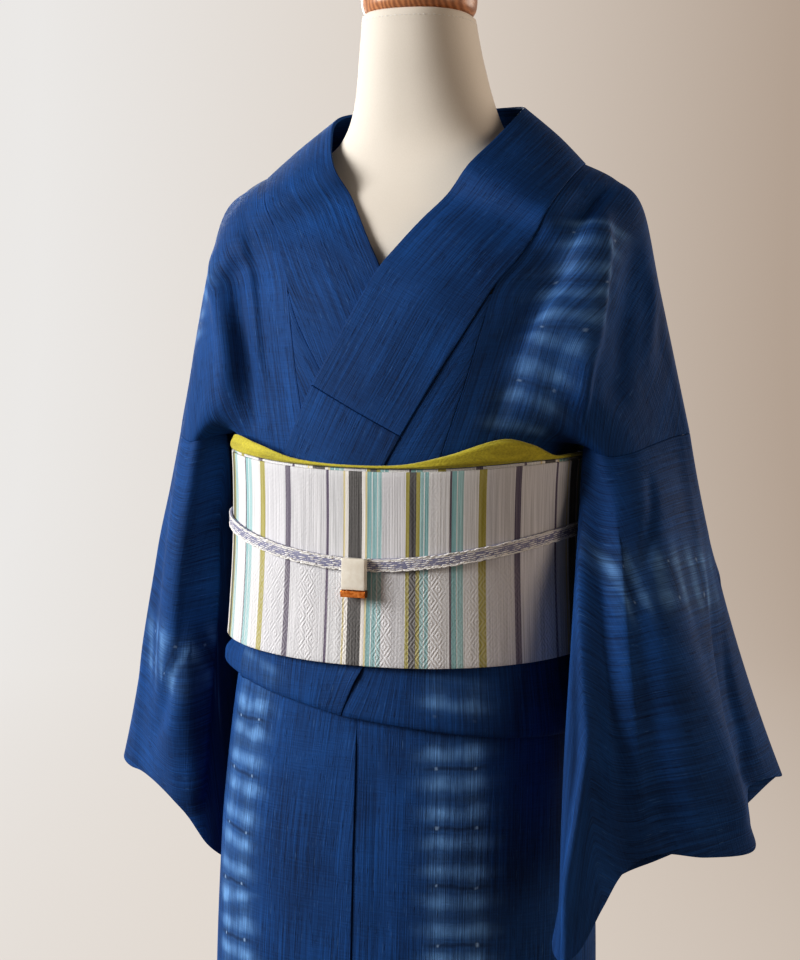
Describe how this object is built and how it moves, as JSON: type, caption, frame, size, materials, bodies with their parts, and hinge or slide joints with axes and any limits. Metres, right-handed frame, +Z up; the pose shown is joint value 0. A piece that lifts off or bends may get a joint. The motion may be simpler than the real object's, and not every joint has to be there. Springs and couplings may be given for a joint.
{
  "type": "tsumugi kimono on a limbless dress form",
  "caption": "Indigo tsumugi kimono, worn left over right with a striped obi tied in a drum bow, standing on a limbless dress form with a round base.",
  "frame": {"origin": "centre of the round base's underside, on the floor", "axes": "+Z up, -Y the garment's front, +X the viewer's right"},
  "size_m": [0.6091, 0.3606, 1.45],
  "materials": {
    "tsumugi_silk": "slubbed indigo tsumugi silk with pale tie-dyed bands",
    "obi_silk": "striped silk obi weave",
    "obiage_crepe": "chartreuse silk crepe",
    "cord_silk": "flat braided silk cord",
    "ivory_ceramic": "glazed off-white block",
    "copper": "polished copper strip",
    "form_cloth": "off-white cotton cover",
    "wood": "varnished beech",
    "stand_enamel": "off-white enamel"
  },
  "bodies": {
    "root": {"form_torso": "form_cloth", "form_neck_cap": "wood", "stand_pole": "stand_enamel", "stand_base": "stand_enamel", "skirt_okumi_left": "tsumugi_silk", "skirt_front_left": "tsumugi_silk", "skirt_back_left": "tsumugi_silk", "skirt_back_right": "tsumugi_silk", "skirt_front_right": "tsumugi_silk", "skirt_okumi_right": "tsumugi_silk", "tuck_okumi_left": "tsumugi_silk", "tuck_panel_left": "tsumugi_silk", "tuck_panel_right": "tsumugi_silk", "body_panel_left": "tsumugi_silk", "sleeve_left": "tsumugi_silk", "okumi_left_upper": "tsumugi_silk", "collar_end_left": "tsumugi_silk", "body_panel_right": "tsumugi_silk", "sleeve_right": "tsumugi_silk", "okumi_right_upper": "tsumugi_silk", "collar_end_right": "tsumugi_silk", "over_collar": "tsumugi_silk", "obi_inner_turn": "obi_silk", "obi_outer_turn": "obi_silk", "obi_drum": "obi_silk", "obi_hand": "obi_silk", "obiage": "obiage_crepe", "obijime": "cord_silk", "obidome": "ivory_ceramic", "obidome_trim": "copper"}
  },
  "joints": []
}
